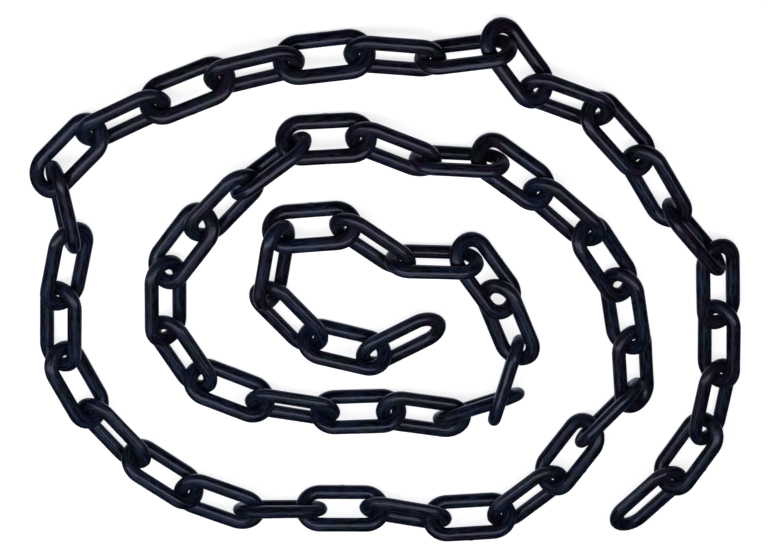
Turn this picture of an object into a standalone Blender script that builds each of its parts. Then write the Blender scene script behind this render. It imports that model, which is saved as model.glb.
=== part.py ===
"""A heap of black plastic chain: one chain of moulded oval links, laid on a floor in a spiral.

The links are numbered from the outer free end of the spiral to the inner free end.
X is the picture's right, Y is the picture's up, and Z is up from the floor.
"""
import math

import bpy
import numpy as np
from mathutils import Matrix

# Driving dimensions of one link, in metres
LINK_LENGTH = 0.052
LINK_WIDTH = 0.027
WIRE_WIDTH = 0.0079
WIRE_THICKNESS = 0.0070
CLEARANCE = 0.0005

# Roundness of a link: flat steps along each end bow, and Blender's bevel resolution for 8 sides
BOW_STEPS = 7
WIRE_RESOLUTION = 2
WIRE_SIDES = 8

# How the picture sees the floor: the camera leans towards the picture's upper edge
PICTURE_CENTRE = (384, 279)
PICTURE_LEAN = math.radians(25)
PICTURE_TURN = math.radians(-5)
PICTURE_FOCAL = 2200
PIXEL = 0.000526
HOOK_HEIGHT = 0.010

# Where the links hook together, in the picture's pixels from its upper left corner. The first
# and last are the tips of the two free ends. Where a hook hangs slack it is two points: the end
# of the link before it and the end of the link after it.
HOOKS = (
    (616, 528), (671, 478), (706, 430), (719, 373), (719, 315),
    ((718, 256), (715, 260)), (673, 213), (640, 158), (598, 112), (536, 89),
    ((498, 36), (503, 50)), (431, 59), (361, 53), (290, 61), (220, 77),
    (154, 104), (90, 133), ((43, 180), (58, 175)), (72, 238), (61, 297),
    (61, 357), (92, 411), (137, 457), (189, 491), (248, 511),
    (312, 508), (377, 509), (438, 518), (502, 514), (551, 478),
    (587, 434), ((633, 390), (634, 398)), (631, 340), (620, 284), (588, 232),
    (540, 191), ((488, 153), (494, 164)), (425, 161), (362, 137), ((292, 141), (298, 146)),
    ((243, 187), (246, 182)), ((201, 228), (205, 221)), (165, 272), (166, 330), (199, 379),
    (260, 402), (326, 412), (391, 410), ((456, 419), (446, 417)), ((510, 396), (497, 411)),
    (519, 350), ((497, 294), (505, 301)), ((467, 250), (469, 264)), (400, 262), (345, 225),
    ((277, 228), (282, 234)), (267, 296), (312, 340), ((377, 355), (371, 355)), (445, 321),
)

# How far each link leans, in degrees, going from the outer end inwards: plus is left side high
LEANS = (
    29, -50, 38, -49, 29, 80, -36, 40, -34, 41,
    78, -35, 42, -37, 46, -39, 43, 72, -40, 36,
    -49, 36, -61, 15, 70, -53, 36, -54, 30, -50,
    75, 39, -38, 39, -35, 44, 86, -34, 43, 85,
    -37, 40, -45, 33, -53, 36, -60, 15, 72, 76,
    -37, 40, 81, -42, 48, -55, 29, -57, 31,
)

# The link that lies with one flat of its wire level on the floor
LEVEL_LINK = 13

# Settling: how the links find their places on the floor without passing through each other
PULL_STEPS = 700
FREE_STEPS = 500
PICTURE_PULL = 0.08
TURN_PULL = 0.1
DROP_STEP = 0.00002
PUSH_SHARE = 0.35
TOUCH_PULL = 0.1
TOUCH_SLACK = 0.0002
TURN_ARM = 0.012
SAMPLE_STEPS = 14
REACH = 0.060

# Colour and finish of the plastic
PLASTIC_COLOUR = (0.012, 0.012, 0.018, 1.0)
PLASTIC_ROUGHNESS = 0.28

BOW_RADIUS = (LINK_WIDTH - WIRE_WIDTH) / 2
HALF_STRAIGHT = (LINK_LENGTH - LINK_WIDTH) / 2
OVAL = WIRE_THICKNESS / WIRE_WIDTH
LEVEL_LEAN = math.pi / 2 - math.atan(WIRE_WIDTH / WIRE_THICKNESS)
HALF_PITCH = LINK_LENGTH / 2 - WIRE_WIDTH
UP = np.array((0.0, 0.0, 1.0))
EYE = PICTURE_FOCAL * PIXEL * np.array((
    math.sin(PICTURE_LEAN) * math.sin(PICTURE_TURN),
    math.sin(PICTURE_LEAN) * math.cos(PICTURE_TURN),
    math.cos(PICTURE_LEAN),
))


def clear_scene():
    for thing in list(bpy.data.objects):
        bpy.data.objects.remove(thing, do_unlink=True)


def floor_place(pixel):
    """Where a pixel of the picture falls on a level plane at the hooks' height, in metres."""
    right = pixel[0] - PICTURE_CENTRE[0]
    up = PICTURE_CENTRE[1] - pixel[1]
    near = up * math.cos(PICTURE_TURN) + right * math.sin(PICTURE_TURN)
    across = right * math.cos(PICTURE_TURN) - up * math.sin(PICTURE_TURN)
    fall = math.sin(PICTURE_LEAN) * near / PICTURE_FOCAL
    depth = math.cos(PICTURE_LEAN) / (math.cos(PICTURE_LEAN) + fall)
    along = near * depth * math.cos(PICTURE_LEAN)
    along -= PICTURE_FOCAL * (depth - 1) * math.sin(PICTURE_LEAN)
    across *= depth
    x = across * math.cos(PICTURE_TURN) + along * math.sin(PICTURE_TURN)
    y = along * math.cos(PICTURE_TURN) - across * math.sin(PICTURE_TURN)
    return x * PIXEL, y * PIXEL


def loop_points(bow_steps, straight_steps):
    """Points along the middle of a link's wire, with the link flat at the origin, long in X."""
    points = []
    for side in (1, -1):
        for step in range(bow_steps + 1):
            angle = math.pi * (step / bow_steps - 0.5)
            x = side * (HALF_STRAIGHT + BOW_RADIUS * math.cos(angle))
            y = side * BOW_RADIUS * math.sin(angle)
            points.append((x, y, 0.0))
        for step in range(1, straight_steps):
            x = side * HALF_STRAIGHT * (1 - 2 * step / straight_steps)
            points.append((x, side * BOW_RADIUS, 0.0))
    return points


def unit(vectors):
    return vectors / np.linalg.norm(vectors, axis=-1, keepdims=True)


def axes_of(along, normal):
    """Each link's own X, Y and Z as the columns of a matrix."""
    along = unit(along)
    normal = unit(normal - along * np.sum(normal * along, axis=-1, keepdims=True))
    return np.stack((along, np.cross(normal, along), normal), axis=-1)


def link_ends():
    """Where the picture shows the hook at the start and at the finish of each link."""
    pairs = [hook if isinstance(hook[0], tuple) else (hook, hook) for hook in HOOKS]
    start = [floor_place(after) for before, after in pairs[:-1]]
    finish = [floor_place(before) for before, after in pairs[1:]]
    return np.array(start), np.array(finish)


def first_places():
    """The middle and the axes of each link as the picture shows them."""
    start, finish = link_ends()
    run = unit(finish - start)
    middle = (start + finish) / 2
    middle[0] = start[0] + run[0] * LINK_LENGTH / 2
    middle[-1] = finish[-1] - run[-1] * LINK_LENGTH / 2
    lean = np.radians(LEANS)
    lean[LEVEL_LINK - 1] = LEVEL_LEAN
    along = np.column_stack((run, np.zeros(len(run))))
    left = np.column_stack((-run[:, 1], run[:, 0], np.zeros(len(run))))
    normal = UP * np.cos(lean)[:, None] - left * np.sin(lean)[:, None]
    height = WIRE_WIDTH / 2 + BOW_RADIUS * np.sin(lean) * np.sign(lean)
    return np.column_stack((middle, height)), axes_of(along, normal)


def near_pairs(middle):
    """Pairs of links that lie within reach of each other, in both orders."""
    gap = np.linalg.norm(middle[:, None] - middle[None], axis=-1)
    first, second = np.nonzero((gap < REACH) & (gap > 0))
    return first, second


def half_wire(normal, direction):
    """Half the oval wire's size in a direction, for a link whose plane has this normal."""
    share = np.sum(normal * direction, axis=-1) ** 2
    return np.sqrt(WIRE_WIDTH ** 2 * (1 - share) + WIRE_THICKNESS ** 2 * share) / 2


def closest_on(points, middle, axes):
    """The point of each link's wire that is closest to each of the given points."""
    local = np.einsum("nmk,nkj->nmj", points - middle[:, None], axes)
    end = np.clip(local[..., 0], -HALF_STRAIGHT, HALF_STRAIGHT)
    out = local[..., 0] - end
    radius = np.hypot(out, local[..., 1]) + 1e-9
    x = end + out / radius * BOW_RADIUS
    y = local[..., 1] / radius * BOW_RADIUS
    return np.einsum("nmj,nkj->nmk", np.stack((x, y, np.zeros_like(x)), axis=-1), axes) + middle[:, None]


def add_push(shift, spin, which, arm, direction, amount):
    """Move links by an amount along a direction that acts on the end of an arm."""
    lever = np.cross(arm, direction)
    np.add.at(shift, which, direction * amount[:, None])
    np.add.at(spin, which, lever * amount[:, None] / TURN_ARM ** 2)


def give_way(arm, direction):
    lever = np.cross(arm, direction)
    return 1 + np.sum(lever ** 2, axis=-1) / TURN_ARM ** 2


def push_apart(middle, axes, world, pairs, halves, shift, spin):
    """Part wires that are too close, and draw hooked links together until they touch."""
    first, second = pairs
    for half in halves:
        points = world[first][:, half]
        near = closest_on(points, middle[second], axes[second])
        away = points - near
        distance = np.linalg.norm(away, axis=-1)
        best = np.argmin(distance, axis=1)
        row = np.arange(len(first))
        gap = distance[row, best]
        direction = away[row, best] / gap[:, None]
        need = half_wire(axes[first][..., 2], direction) + half_wire(axes[second][..., 2], direction)
        short = need + CLEARANCE - gap
        hooked = np.abs(first - second) == 1
        loose = np.where(hooked, np.minimum(short + TOUCH_SLACK, 0) * TOUCH_PULL, 0)
        amount = np.where(short > 0, short * PUSH_SHARE, loose)
        arm_first = points[row, best] - middle[first]
        arm_second = near[row, best] - middle[second]
        amount = amount / (give_way(arm_first, direction) + give_way(arm_second, direction))
        add_push(shift, spin, first, arm_first, direction, amount)
        add_push(shift, spin, second, arm_second, -direction, amount)


def lift_off_floor(middle, axes, world, ends, shift, spin):
    """Raise what has sunk below the floor, at each end of each link."""
    up = np.broadcast_to(UP, middle.shape)
    reach = half_wire(axes[..., 2], up)
    reach[LEVEL_LINK - 1] *= math.cos(math.pi / WIRE_SIDES)
    row = np.arange(len(middle))
    for end in ends:
        points = world[:, end]
        low = np.argmin(points[..., 2], axis=1)
        sunk = np.maximum(reach - points[row, low, 2], 0)
        arm = points[row, low] - middle
        amount = sunk * PUSH_SHARE / give_way(arm, up)
        add_push(shift, spin, row, arm, up, amount)


def pull_to_picture(middle, axes, ends, shift, spin):
    """Draw each end of each link to the line of sight on which the picture shows its hook."""
    which = np.arange(len(middle))
    for side, places in zip((-1, 1), ends):
        reach = np.full(len(middle), HALF_PITCH)
        reach[0 if side < 0 else -1] = LINK_LENGTH / 2
        arm = axes[..., 0] * reach[:, None] * side
        point = middle + arm
        rise = (point[:, 2] - HOOK_HEIGHT) / EYE[2]
        seen = places + (EYE[:2] - places) * rise[:, None]
        miss = np.column_stack((seen - point[:, :2], np.zeros(len(middle))))
        amount = np.linalg.norm(miss, axis=-1) + 1e-12
        add_push(shift, spin, which, arm, miss / amount[:, None], amount * PICTURE_PULL)


def settle():
    """Middles and axes of the links, each on the floor or on its neighbours, none overlapping."""
    middle, axes = first_places()
    seen_ends = link_ends()
    aim_axes = axes.copy()
    outline = np.array(loop_points(SAMPLE_STEPS, SAMPLE_STEPS))
    halves = (outline[:, 1] > 0, outline[:, 1] < 0)
    ends = (outline[:, 0] > 0, outline[:, 0] < 0)
    pairs = near_pairs(middle)
    level = LEVEL_LINK - 1
    for step in range(PULL_STEPS + FREE_STEPS):
        world = np.einsum("mj,nkj->nmk", outline, axes) + middle[:, None]
        shift = np.zeros_like(middle)
        spin = np.zeros_like(middle)
        push_apart(middle, axes, world, pairs, halves, shift, spin)
        lift_off_floor(middle, axes, world, ends, shift, spin)
        if step < PULL_STEPS:
            pull_to_picture(middle, axes, seen_ends, shift, spin)
            shift[:, 2] -= DROP_STEP
            spin += np.cross(axes[..., 0], aim_axes[..., 0]) * TURN_PULL
            spin += np.cross(axes[..., 2], aim_axes[..., 2]) * TURN_PULL
        spin[level] = 0
        middle = middle + shift
        along = axes[..., 0] + np.cross(spin, axes[..., 0])
        normal = axes[..., 2] + np.cross(spin, axes[..., 2])
        axes = axes_of(along, normal)
    return middle, axes


def plastic():
    material = bpy.data.materials.new("black_plastic")
    material.use_nodes = True
    shader = material.node_tree.nodes["Principled BSDF"]
    shader.inputs["Base Color"].default_value = PLASTIC_COLOUR
    shader.inputs["Roughness"].default_value = PLASTIC_ROUGHNESS
    shader.inputs["Metallic"].default_value = 0.0
    material.diffuse_color = PLASTIC_COLOUR
    return material


def link_curve(material):
    """One closed link: a round tube on an oblong loop, turned so that it has flats above and below."""
    curve = bpy.data.curves.new("link", "CURVE")
    curve.dimensions = "3D"
    curve.twist_mode = "Z_UP"
    curve.bevel_depth = WIRE_WIDTH / 2
    curve.bevel_resolution = WIRE_RESOLUTION
    spline = curve.splines.new("POLY")
    points = loop_points(BOW_STEPS, 1)
    spline.points.add(len(points) - 1)
    for point, place in zip(spline.points, points):
        point.co = (*place, 1.0)
        point.tilt = math.pi / WIRE_SIDES
    spline.use_cyclic_u = True
    spline.use_smooth = True
    curve.materials.append(material)
    return curve


def build():
    clear_scene()
    parts = bpy.data.collections.new("plastic_chain_heap")
    bpy.context.scene.collection.children.link(parts)
    curve = link_curve(plastic())
    squash = Matrix.Diagonal((1.0, 1.0, OVAL, 1.0))
    links = []
    for number, (middle, axes) in enumerate(zip(*settle()), start=1):
        link = bpy.data.objects.new(f"link_{number:02d}", curve)
        parts.objects.link(link)
        place = Matrix(axes.tolist()).to_4x4()
        place.translation = middle
        link.matrix_world = place @ squash
        links.append(link)
    centre_on_floor(links)


def centre_on_floor(links):
    """Shift the chain so that its box stands on Z = 0 with its middle at the origin."""
    bpy.context.view_layer.update()
    view = bpy.context.evaluated_depsgraph_get()
    places = []
    for link in links:
        solid = link.evaluated_get(view)
        mesh = solid.to_mesh()
        places.extend(link.matrix_world @ vertex.co for vertex in mesh.vertices)
        solid.to_mesh_clear()
    corners = np.array(places)
    low, high = corners.min(axis=0), corners.max(axis=0)
    origin = ((low[0] + high[0]) / 2, (low[1] + high[1]) / 2, low[2])
    for link in links:
        link.matrix_world = Matrix.Translation([-value for value in origin]) @ link.matrix_world


build()
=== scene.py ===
"""The look of a heap of black plastic chain: every link a smooth moulded ring, on a pale floor."""

import math

import bpy
import numpy as np
from mathutils import Matrix, Vector


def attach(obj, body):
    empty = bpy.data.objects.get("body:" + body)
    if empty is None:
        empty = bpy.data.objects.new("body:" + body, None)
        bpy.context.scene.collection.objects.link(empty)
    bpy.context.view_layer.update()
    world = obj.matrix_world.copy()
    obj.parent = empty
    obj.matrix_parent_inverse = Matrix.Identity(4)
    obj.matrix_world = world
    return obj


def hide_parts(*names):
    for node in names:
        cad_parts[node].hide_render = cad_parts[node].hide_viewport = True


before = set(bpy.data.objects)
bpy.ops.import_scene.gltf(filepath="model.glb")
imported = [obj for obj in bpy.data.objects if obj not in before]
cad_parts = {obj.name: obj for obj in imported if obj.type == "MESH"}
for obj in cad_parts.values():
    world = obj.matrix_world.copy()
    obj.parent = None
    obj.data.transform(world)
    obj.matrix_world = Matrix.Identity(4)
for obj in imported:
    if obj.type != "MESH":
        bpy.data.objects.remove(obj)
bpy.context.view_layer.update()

LINKS = 59
BODY = "root"
RANDOM_SEED = 59

# One link, in metres: the same driving dimensions as the solid model
LINK_LENGTH = 0.052
LINK_WIDTH = 0.027
WIRE_WIDTH = 0.0079
WIRE_THICKNESS = 0.0070

# Fineness of a link's surface, and the columns at the parting line, counted in its half widths
BOW_STEPS = 26
STRAIGHT_STEPS = 12
SECTION_STEPS = 36
SEAM_COLUMNS = (-2.0, -1.0, -0.45, 0.0, 0.45, 1.0, 2.0)

# The parting line that the two halves of the mould leave, and the mark of the gate
SEAM_HEIGHT = 0.00014
SEAM_HALF_WIDTH = 0.00030
SEAM_RAGGED = 0.35
RAGGED_TURNS = (7, 17)
GATE_RADIUS = 0.0011
GATE_HEIGHT = 0.00025

# Slight waves of the surface, counted along the loop and around the wire
WAVE_HEIGHT = 0.00005
WAVES_ALONG = 3
WAVES_AROUND = 2

# The flow lines in the plastic run along the wire: how far they are drawn out, and how unlike two links are
FLOW_STRETCH = 0.16
FLOW_APART = 1.0

# How steeply wear grows towards the ends of a link: on its whole bows, and on their inner side
BOWED_POWER = 4
RUBBED_POWER = 6

# The plastic's casts, each as its dark and its light streak, the paler scuffs, and the paler parting line,
# which is partly the real moulding line and partly a painted highlight along the wire's outer and inner
# edges
NAVY = ((0.0015, 0.0035, 0.0150, 1), (0.0210, 0.0300, 0.0640, 1))
MAROON = ((0.0030, 0.0010, 0.0080, 1), (0.0270, 0.0180, 0.0380, 1))
TEAL = ((0.0010, 0.0025, 0.0045, 1), (0.0150, 0.0260, 0.0330, 1))
SCUFF_COLOUR = (0.040, 0.044, 0.066, 1)
SEAM_AND_HIGHLIGHT_COLOUR = (0.050, 0.055, 0.080, 1)
SCUFF_SHARE = 0.35
SEAM_AND_HIGHLIGHT_SHARE = 0.45

# How fine each pattern in the plastic is: a larger number is a finer pattern
LINE_SCALE = 950.0
BROAD_LINE_SCALE = 420.0
WARM_SCALE = 38.0
COOL_SCALE = 60.0
SCUFF_SCALE = 900.0
GRAIN_SCALE = 1300.0
SOFT_SCALE = 240.0
KNOCK_SCALE = 520.0

# Between which values each pattern rises from nothing to its whole
STREAK_EDGES = (0.42, 0.60)
WARM_EDGES = (0.48, 0.60)
COOL_EDGES = (0.54, 0.62)
SCUFF_EDGES = (0.57, 0.72)
ROUGH_EDGES = (0.35, 0.65)

# How much warmer the cast grows for each metre towards the upper right
WARM_ACROSS = 0.45
WARM_UP = 0.80

# How rough the plastic is along its broad lines, and what scuffs, bows and rubbed places add
ROUGH_RANGE = (0.15, 0.27)
SCUFF_ROUGHNESS = 0.4
BOWED_ROUGHNESS = 0.12
RUBBED_ROUGHNESS = 0.10
GLOSS = {"IOR": 1.50, "Specular IOR Level": 0.5, "Specular Tint": (0.70, 0.74, 1.0, 1)}

# The shares of grain, lines and knocks in the uneven surface, next to its soft waves
GRAIN_SHARE = 0.50
LINE_SHARE = 0.55
BOWED_LINE_SHARE = 1.6
KNOCK_SHARE = 7.0
BUMP_STRENGTH = 0.48
BUMP_HEIGHT = 0.00010

# The white paper under the chain
FLOOR_HALF_SIZE = 6.0
FLOOR_GRAIN_SCALE = 900.0
FLOOR_TINTS = ((0.86, 0.855, 0.87, 1), (0.90, 0.895, 0.91, 1))
FLOOR_FINISH = {
    "Roughness": 0.9,
    "Specular IOR Level": 0.1,
    "Emission Color": (1.0, 0.996, 1.0, 1),
    "Emission Strength": 0.78,
}

# How the picture sees the chain: PICTURE_PLACE is the point at its middle, PIXEL a pixel's width there
PICTURE_WIDTH = 768
PICTURE_LEAN = math.radians(25)
PICTURE_TURN = math.radians(-5)
PICTURE_FOCAL = 2200
PIXEL = 0.000526
PICTURE_PLACE = Vector((-0.004418, 0.008074, 0.01006))
SENSOR = 36.0
CLIP_START = 0.01
CLIP_END = 50

# How bright the dim studio is, and the lit floor's glow in the gloss, which grows steeply below
ROOM_COLOUR = (0.72, 0.78, 1.0, 1)
ROOM_GLOW = 0.020
FLOOR_GLOW = 0.80
HORIZON_TOP = -0.50
HORIZON_FOOT = -0.98

# The soft boxes over the chain, facing down: name, place, size, watts and colour
SOFT_BOXES = (
    ("key_light", (-0.23, 0.09, 0.52), (1.30, 0.26), 2.45, (1.0, 1.0, 1.0)),
    ("fill_light", (-0.24, -0.25, 0.52), (0.52, 0.36), 0.33, (0.78, 0.88, 1.0)),
)

# Where a Mix node keeps its two colours and their blend, beside its sockets for other kinds
MIX_FIRST = 6
MIX_SECOND = 7
MIX_RESULT = 2


def node_places(node):
    """A link's middle and axes, read from its solid: long, wide and thin, in that order."""
    points = np.array([vertex.co[:] for vertex in node.data.vertices])
    middle = points.mean(axis=0)
    spread = np.linalg.eigh(np.cov((points - middle).T))[1]
    thin, long = spread[:, 0], spread[:, 2]
    if thin[2] < 0:
        thin = -thin
    axes = np.column_stack((long, np.cross(thin, long), thin))
    local = (points - middle) @ axes
    middle = middle + axes @ ((local.max(axis=0) + local.min(axis=0)) / 2)
    return middle, axes


def loop_path():
    """Points, outward directions and lengths along the middle of a link's wire."""
    bow = (LINK_WIDTH - WIRE_WIDTH) / 2
    half = (LINK_LENGTH - LINK_WIDTH) / 2
    points, outward = [], []
    for side in (1, -1):
        for step in range(BOW_STEPS + 1):
            angle = math.pi * (step / BOW_STEPS - 0.5)
            way = (side * math.cos(angle), side * math.sin(angle), 0.0)
            points.append((side * half + way[0] * bow, way[1] * bow, 0.0))
            outward.append(way)
        for step in range(1, STRAIGHT_STEPS):
            x = side * half * (1 - 2 * step / STRAIGHT_STEPS)
            points.append((x, side * bow, 0.0))
            outward.append((0.0, side, 0.0))
    points = np.array(points)
    steps = np.linalg.norm(np.roll(points, -1, axis=0) - points, axis=1)
    run = np.concatenate(([0.0], np.cumsum(steps)[:-1]))
    return points, np.array(outward), run, steps.sum()


def section_angles():
    """Angles around the wire, closer together at the parting line on the outer and inner side."""
    fine = SEAM_HALF_WIDTH / (WIRE_THICKNESS / 2)
    near = [column * fine for column in SEAM_COLUMNS]
    centre = len(near) // 2
    plain = (SECTION_STEPS - 2 * len(near)) // 2
    start, end = near[-1], math.pi + near[0]
    between = [start + (end - start) * (step + 1) / (plain + 1) for step in range(plain)]
    half = near[centre:] + between + [math.pi + value for value in near[:centre]]
    return np.array(half + [math.pi + value for value in half])


def surface_relief(run, length, angles, seam_and_highlight, rng):
    """How far the parting line, the waves and the gate mark stand out of one link's wire."""
    phase = rng.uniform(0, 2 * math.pi, 4)
    turn = 2 * math.pi * run / length
    first, second = RAGGED_TURNS
    ragged = np.sin(first * turn + phase[0]) * np.sin(second * turn + phase[1])
    ragged = 1 - SEAM_RAGGED * (0.5 + 0.5 * ragged)
    wave = np.sin(WAVES_ALONG * turn + phase[2])[:, None] * np.cos(WAVES_AROUND * angles + phase[3])[None]
    relief = ragged[:, None] * seam_and_highlight[None] * SEAM_HEIGHT + wave * WAVE_HEIGHT
    middle_step = STRAIGHT_STEPS // 2
    gate_row = int(rng.choice((BOW_STEPS + middle_step, len(run) - middle_step)))
    gate_away = np.hypot(run[:, None] - run[gate_row], np.sin(angles)[None] * WIRE_THICKNESS / 2)
    at_gate = (np.cos(angles)[None] > 0) & (gate_away < GATE_RADIUS)
    return relief + np.where(at_gate, GATE_HEIGHT, 0.0)


def ring_faces(rows, ring):
    """The four corners of each face of a closed tube of rows of points."""
    row = np.arange(rows)[:, None]
    column = np.arange(ring)[None]
    next_row = (row + 1) % rows
    next_column = (column + 1) % ring
    corners = (
        row * ring + column,
        next_row * ring + column,
        next_row * ring + next_column,
        row * ring + next_column,
    )
    return np.stack(corners, axis=-1).reshape(-1, 4)


def link_mesh(name, middle, axes, rng):
    """One moulded link in place, with its parting line, its gate mark and slight waves."""
    path, outward, run, length = loop_path()
    angles = section_angles()
    rows, ring = len(path), len(angles)
    seam_and_highlight = np.maximum(0.0, 1.0 - np.abs(np.sin(angles)) * (WIRE_THICKNESS / 2) / SEAM_HALF_WIDTH)
    relief = surface_relief(run, length, angles, seam_and_highlight, rng)
    out = np.cos(angles)[None] * WIRE_WIDTH / 2 + np.cos(angles)[None] * relief
    lift = np.sin(angles)[None] * WIRE_THICKNESS / 2 + np.sin(angles)[None] * relief
    local = path[:, None] + outward[:, None] * out[..., None]
    local[..., 2] += lift
    points = middle + local.reshape(-1, 3) @ axes.T

    mesh = bpy.data.meshes.new(name)
    mesh.from_pydata(points.tolist(), [], ring_faces(rows, ring).tolist())
    mesh.update()
    mesh.shade_smooth()
    along = FLOW_STRETCH * np.abs(run - length / 2) + FLOW_APART * rng.uniform()
    flow = np.stack((out, lift, np.repeat(along[:, None], ring, axis=1)), axis=-1)
    give_vectors(mesh, "flow", flow)
    # The parting line's share, which the plastic also uses to paint a highlight along the wire's outer and
    # inner edges
    give_numbers(mesh, "seam_and_highlight", np.tile(seam_and_highlight, rows))
    endness = np.abs(path[:, 0]) / path[:, 0].max()
    inner = np.clip(-np.cos(angles), 0, 1)
    rubbed = inner[None] * endness[:, None] ** RUBBED_POWER
    give_numbers(mesh, "rubbed", rubbed.ravel())
    give_numbers(mesh, "bowed", np.repeat(endness ** BOWED_POWER, ring))
    return mesh


def give_numbers(mesh, name, values):
    attribute = mesh.attributes.new(name, "FLOAT", "POINT")
    attribute.data.foreach_set("value", np.asarray(values, dtype=np.float32))


def give_vectors(mesh, name, values):
    attribute = mesh.attributes.new(name, "FLOAT_VECTOR", "POINT")
    attribute.data.foreach_set("vector", np.asarray(values, dtype=np.float32).ravel())


class Shader:
    """Short calls that add and join the nodes of one material."""

    def __init__(self, name):
        self.material = bpy.data.materials.new(name)
        self.material.use_nodes = True
        self.tree = self.material.node_tree
        self.surface = self.tree.nodes["Principled BSDF"]

    def add(self, kind, links=None, **values):
        node = self.tree.nodes.new(kind)
        for key, value in values.items():
            setattr(node, key, value)
        for socket, source in (links or {}).items():
            self.put(node.inputs[socket], source)
        return node

    def put(self, socket, source):
        if hasattr(source, "is_output"):
            self.tree.links.new(source, socket)
        else:
            socket.default_value = source

    def finish(self, values):
        for name, value in values.items():
            self.put(self.surface.inputs[name], value)

    def given(self, name, kind="Fac"):
        return self.add("ShaderNodeAttribute", attribute_name=name).outputs[kind]

    def noise(self, place, scale, detail=3.0, rough=0.5):
        links = {"Vector": place, "Scale": scale, "Detail": detail, "Roughness": rough}
        return self.add("ShaderNodeTexNoise", links).outputs["Fac"]

    def ramp(self, value, low, high, to_low=0.0, to_high=1.0):
        links = {"Value": value, "From Min": low, "From Max": high, "To Min": to_low, "To Max": to_high}
        return self.add("ShaderNodeMapRange", links).outputs["Result"]

    def sums(self, kind, first, second):
        return self.add("ShaderNodeMath", {0: first, 1: second}, operation=kind).outputs[0]

    def plus(self, first, second):
        return self.sums("ADD", first, second)

    def times(self, first, second):
        return self.sums("MULTIPLY", first, second)

    def blend(self, share, first, second):
        links = {"Factor": share, MIX_FIRST: first, MIX_SECOND: second}
        return self.add("ShaderNodeMix", links, data_type="RGBA").outputs[MIX_RESULT]


def plastic_tint(shade, place, lines, scuffs):
    """Navy, maroon and teal casts in soft patches, streaked along the flow lines, and paler wear, with a
    paler parting line that is partly a painted highlight on the wire's edges.
    """
    streaks = shade.ramp(lines, *STREAK_EDGES)
    navy = shade.blend(streaks, *NAVY)
    maroon = shade.blend(streaks, *MAROON)
    teal = shade.blend(streaks, *TEAL)
    split = shade.add("ShaderNodeSeparateXYZ", {0: place})
    across = shade.times(split.outputs["X"], WARM_ACROSS)
    corner = shade.plus(across, shade.times(split.outputs["Y"], WARM_UP))
    warmth = shade.ramp(shade.plus(shade.noise(place, WARM_SCALE, detail=2.0), corner), *WARM_EDGES)
    cool = shade.ramp(shade.noise(place, COOL_SCALE, detail=2.0), *COOL_EDGES)
    tint = shade.blend(cool, shade.blend(warmth, navy, maroon), teal)
    tint = shade.blend(scuffs, tint, SCUFF_COLOUR)
    # The parting line painted paler: partly the real moulding line, partly a painted highlight along the
    # wire's outer and inner edges
    return shade.blend(shade.times(shade.given("seam_and_highlight"), SEAM_AND_HIGHLIGHT_SHARE), tint, SEAM_AND_HIGHLIGHT_COLOUR)


def plastic_roughness(shade, flow, scuffs, bowed):
    """Uneven gloss along the wire, duller at scuffs, on the bows and where links rub."""
    rough = shade.ramp(shade.noise(flow, BROAD_LINE_SCALE, detail=2.0), *ROUGH_EDGES, *ROUGH_RANGE)
    rough = shade.plus(rough, shade.times(scuffs, SCUFF_ROUGHNESS))
    rough = shade.plus(rough, shade.times(bowed, BOWED_ROUGHNESS))
    return shade.plus(rough, shade.times(shade.given("rubbed"), RUBBED_ROUGHNESS))


def plastic_bump(shade, place, lines, bowed):
    """Grain, soft waves and flow lines all over, with knocks on the bows."""
    grain = shade.noise(place, GRAIN_SCALE, detail=2.0)
    soft = shade.noise(place, SOFT_SCALE, detail=2.0)
    height = shade.plus(shade.times(grain, GRAIN_SHARE), soft)
    line_height = shade.plus(LINE_SHARE, shade.times(bowed, BOWED_LINE_SHARE))
    height = shade.plus(height, shade.times(lines, line_height))
    knocks = shade.times(shade.noise(place, KNOCK_SCALE, detail=2.0), shade.times(bowed, KNOCK_SHARE))
    height = shade.plus(height, knocks)
    links = {"Height": height, "Strength": BUMP_STRENGTH, "Distance": BUMP_HEIGHT}
    return shade.add("ShaderNodeBump", links).outputs["Normal"]


def black_plastic():
    """Glossy black moulded plastic with a blue cast, flow lines along the wire, scuffs and knocks."""
    shade = Shader("black_plastic_moulded")
    place = shade.add("ShaderNodeTexCoord").outputs["Object"]
    flow = shade.given("flow", "Vector")
    bowed = shade.given("bowed")
    lines = shade.noise(flow, LINE_SCALE, detail=3.0, rough=0.6)
    scuffs = shade.noise(place, SCUFF_SCALE, detail=6.0, rough=0.65)
    scuffs = shade.ramp(scuffs, *SCUFF_EDGES, to_high=SCUFF_SHARE)
    shade.finish({
        "Base Color": plastic_tint(shade, place, lines, scuffs),
        "Roughness": plastic_roughness(shade, flow, scuffs, bowed),
        "Normal": plastic_bump(shade, place, lines, bowed),
    })
    shade.finish(GLOSS)
    return shade.material


def make_links():
    material = black_plastic()
    rng = np.random.default_rng(RANDOM_SEED)
    pieces = []
    for number in range(1, LINKS + 1):
        node_name = f"link_{number:02d}"
        middle, axes = node_places(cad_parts[node_name])
        name = f"moulded_{node_name}"
        piece = bpy.data.objects.new(name, link_mesh(name, middle, axes, rng))
        piece.data.materials.append(material)
        bpy.context.scene.collection.objects.link(piece)
        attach(piece, BODY)
        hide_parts(node_name)
        pieces.append(piece)
    return pieces


def white_paper():
    """Nearly even white paper that also glows, so that it shows almost no shadow."""
    shade = Shader("white_paper")
    place = shade.add("ShaderNodeTexCoord").outputs["Object"]
    tint = shade.blend(shade.noise(place, FLOOR_GRAIN_SCALE), *FLOOR_TINTS)
    shade.finish({"Base Color": tint})
    shade.finish(FLOOR_FINISH)
    return shade.material


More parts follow.
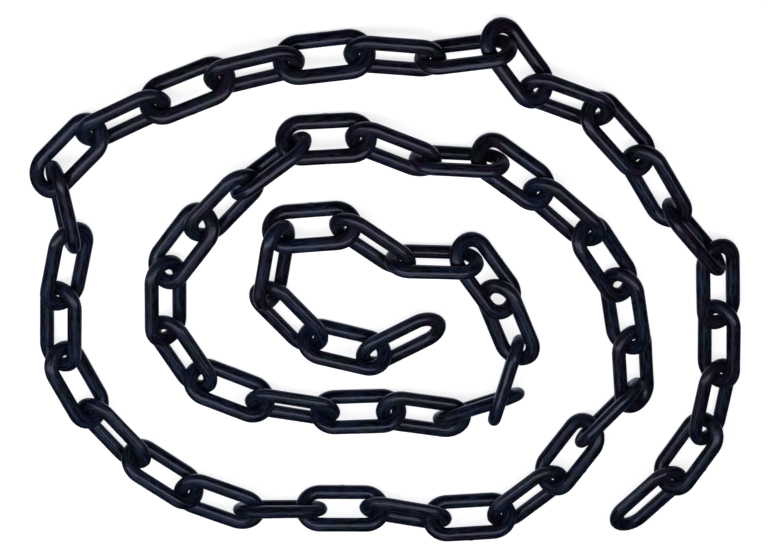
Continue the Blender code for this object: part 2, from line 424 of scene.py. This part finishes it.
def pale_floor(pieces):
    """A wide floor at the height of the lowest point of the chain."""
    low = min(min(vertex.co.z for vertex in piece.data.vertices) for piece in pieces)
    size = FLOOR_HALF_SIZE
    mesh = bpy.data.meshes.new("floor")
    corners = ((-size, -size, low), (size, -size, low), (size, size, low), (-size, size, low))
    mesh.from_pydata(corners, [], [(0, 1, 2, 3)])
    mesh.materials.append(white_paper())
    floor = bpy.data.objects.new("floor", mesh)
    bpy.context.scene.collection.objects.link(floor)
    floor.visible_diffuse = False
    floor.visible_glossy = False


def soft_box(name, place, size, watts, colour):
    light = bpy.data.lights.new(name, "AREA")
    light.color = colour
    light.shape = "RECTANGLE"
    light.size, light.size_y = size
    light.energy = watts
    thing = bpy.data.objects.new(name, light)
    thing.location = place
    thing.visible_camera = False
    bpy.context.scene.collection.objects.link(thing)


def studio_world():
    """A dim studio whose lit floor shows, as a soft glow from below the horizon, in the gloss."""
    world = bpy.data.worlds.new("studio")
    world.use_nodes = True
    tree = world.node_tree
    back = tree.nodes["Background"]
    back.inputs["Color"].default_value = ROOM_COLOUR
    place = tree.nodes.new("ShaderNodeTexCoord")
    split = tree.nodes.new("ShaderNodeSeparateXYZ")
    glow = tree.nodes.new("ShaderNodeMapRange")
    glow.inputs["From Min"].default_value = HORIZON_TOP
    glow.inputs["From Max"].default_value = HORIZON_FOOT
    glow.inputs["To Min"].default_value = ROOM_GLOW
    glow.inputs["To Max"].default_value = FLOOR_GLOW
    tree.links.new(place.outputs["Generated"], split.inputs[0])
    tree.links.new(split.outputs["Z"], glow.inputs["Value"])
    tree.links.new(glow.outputs["Result"], back.inputs["Strength"])
    bpy.context.scene.world = world


def light_scene():
    studio_world()
    for name, place, size, watts, colour in SOFT_BOXES:
        soft_box(name, place, size, watts, colour)
    bpy.context.scene.view_settings.view_transform = "Standard"


def picture_camera():
    """A camera that leans towards the picture's upper edge, as the photograph's did."""
    lean, turn = PICTURE_LEAN, PICTURE_TURN
    across = Vector((math.cos(turn), -math.sin(turn), 0))
    away = Vector((math.sin(turn), math.cos(turn), 0))
    up = away * math.cos(lean) - Vector((0, 0, math.sin(lean)))
    back = away * math.sin(lean) + Vector((0, 0, math.cos(lean)))
    right = across * math.cos(turn) + up * math.sin(turn)
    top = up * math.cos(turn) - across * math.sin(turn)
    camera = bpy.data.cameras.new("picture_camera")
    camera.sensor_width = SENSOR
    camera.lens = PICTURE_FOCAL / PICTURE_WIDTH * SENSOR
    camera.clip_start = CLIP_START
    camera.clip_end = CLIP_END
    thing = bpy.data.objects.new("picture_camera", camera)
    matrix = Matrix((right, top, back)).transposed().to_4x4()
    matrix.translation = PICTURE_PLACE + back * PICTURE_FOCAL * PIXEL
    thing.matrix_world = matrix
    bpy.context.scene.collection.objects.link(thing)
    bpy.context.scene.camera = thing


picture_camera()
links = make_links()
pale_floor(links)
light_scene()
